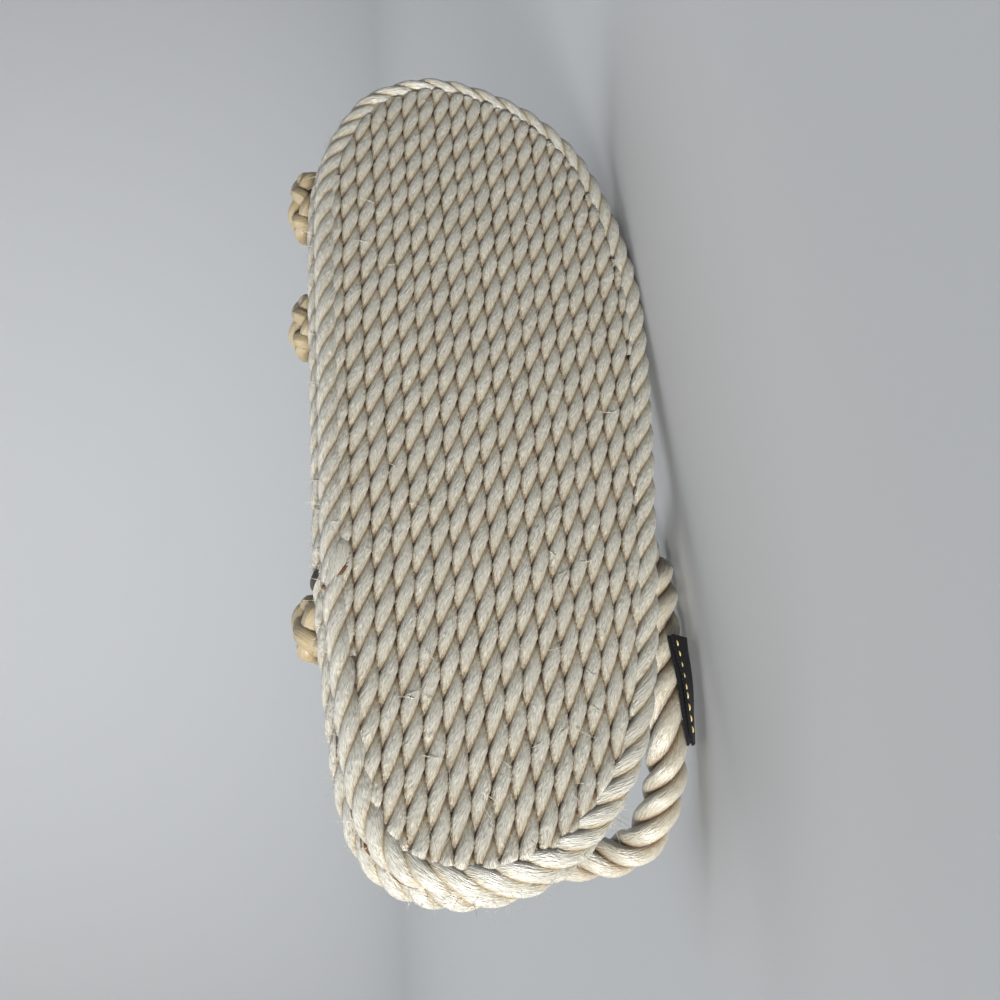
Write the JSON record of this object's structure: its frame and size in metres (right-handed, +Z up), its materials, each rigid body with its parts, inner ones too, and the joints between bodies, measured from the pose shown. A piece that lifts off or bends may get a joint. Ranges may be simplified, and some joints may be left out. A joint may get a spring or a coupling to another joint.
{
  "type": "rope sandal",
  "caption": "Left rope sandal lying on its outer side: a sole of straight laid rope rows with a rope edge, two thick rope straps that cross over the forefoot and a slack rope heel strap.",
  "frame": {"origin": "centre of the bottom of the bounding box, with the shoe lying on its outer side on Z = 0", "axes": "+X to the toe, +Y from the tread towards the foot, +Z up towards the inner side of the foot"},
  "size_m": [0.28, 0.075, 0.1154],
  "materials": {
    "sole_rope": "glossy cream laid polypropylene rope",
    "strap_rope": "cream laid polypropylene rope, browner in its grooves",
    "knot_rope": "tan polypropylene strands, duller than the sole",
    "woven_tape": "black woven tape with a plain gold edge thread"
  },
  "bodies": {
    "root": {"outsole_rows": "sole_rope", "outsole_border": "sole_rope", "footbed_rows": "sole_rope", "footbed_border": "sole_rope", "upper": "strap_rope", "heel_strap": "strap_rope", "knot_toe": "knot_rope", "knot_ball": "knot_rope", "knot_heel": "knot_rope", "label": "woven_tape"}
  },
  "joints": []
}
